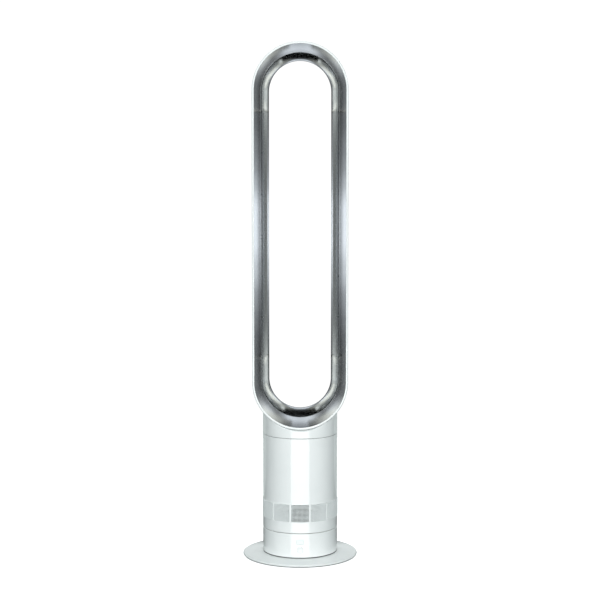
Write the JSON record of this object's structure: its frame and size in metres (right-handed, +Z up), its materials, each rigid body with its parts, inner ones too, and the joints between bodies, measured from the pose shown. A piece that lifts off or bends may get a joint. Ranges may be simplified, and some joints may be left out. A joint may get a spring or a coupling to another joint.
{
  "type": "tower fan",
  "caption": "Tall fan with a hollow oblong loop that blows air from a slot, on a round body with a perforated inlet band, a swinging joint and a flat base plate.",
  "frame": {"origin": "centre of the round footprint, on the floor", "axes": "+Z up, the loop blows and the power button faces -Y, +X to the right when looking at the front from -Y"},
  "size_m": [0.226, 0.226, 1.0069],
  "materials": {
    "white_casing": "gloss",
    "silver_liner": "satin",
    "inlet_sheet": "satin",
    "rubber": "matte",
    "dark_plastic": "satin",
    "grey_plastic": "satin",
    "bearing_plastic": "satin",
    "board": "satin",
    "steel": "satin",
    "brass": "satin",
    "copper_winding": "satin",
    "magnet": "satin",
    "foam": "matte"
  },
  "bodies": {
    "base": {"base_plate": "white_casing", "foot_ring": "rubber", "base_cover": "dark_plastic", "ballast_plate": "steel", "base_screws": "steel", "base_drum": "white_casing", "base_deck": "bearing_plastic", "deck_screws": "steel", "glide_ring": "bearing_plastic", "pivot_bush": "bearing_plastic", "swing_motor": "steel", "main_board": "board", "board_standoffs": "brass", "board_parts": "dark_plastic", "control_board": "board", "tact_switch": "dark_plastic", "button_guide": "bearing_plastic", "led_display": "dark_plastic", "ir_receiver": "dark_plastic", "display_window": "white_casing", "cord_inlet": "rubber"},
    "power_button": {"power_button": "white_casing"},
    "pinion": {"drive_pinion": "bearing_plastic"},
    "upper_body": {"turntable": "bearing_plastic", "swing_gear": "bearing_plastic", "gear_screws": "steel", "retaining_clip": "steel", "body_skirt": "white_casing", "inlet_grille": "white_casing", "inlet_mesh": "inlet_sheet", "body_tube": "white_casing", "lower_silencer": "foam", "duct_housing": "grey_plastic", "isolation_ring": "rubber", "flow_vanes": "grey_plastic", "motor_bucket": "grey_plastic", "bucket_cap": "grey_plastic", "motor_stator": "copper_winding", "lower_bearing": "steel", "upper_bearing": "steel", "upper_silencer": "foam", "coupling_ring": "bearing_plastic", "neck_seal": "rubber", "loop_neck": "white_casing", "loop_duct": "bearing_plastic", "duct_screws": "steel", "loop_outer_shell": "white_casing", "loop_rear_cover": "white_casing", "loop_diffuser": "silver_liner", "loop_inner_wall": "silver_liner", "slot_spacers": "silver_liner"},
    "rotor": {"impeller": "dark_plastic", "motor_shaft": "steel", "magnet_rotor": "magnet", "shaft_nut": "steel"}
  },
  "joints": [
    {"name": "oscillation", "type": "hinge", "parent": "base", "child": "upper_body", "pos_m": [0, 0, 0.057], "axis": [0, 0, 1], "range_deg": [-35, 35]},
    {"name": "impeller_spin", "type": "hinge", "parent": "upper_body", "child": "rotor", "pos_m": [0, 0, 0.14], "axis": [0, 0, 1], "continuous": true},
    {"name": "power_button_press", "type": "slide", "parent": "base", "child": "power_button", "axis": [0, 1, 0], "range_m": [0, 0.0012], "stiffness_N_per_m": 800, "springref_m": -0.0006},
    {"name": "pinion_spin", "type": "hinge", "parent": "base", "child": "pinion", "pos_m": [0.0525, 0, 0.0526], "axis": [0, 0, 1], "range_deg": [-211, 211]}
  ],
  "couplings": [
    {"joint": "pinion_spin", "follows": "oscillation", "ratio": -6}
  ]
}
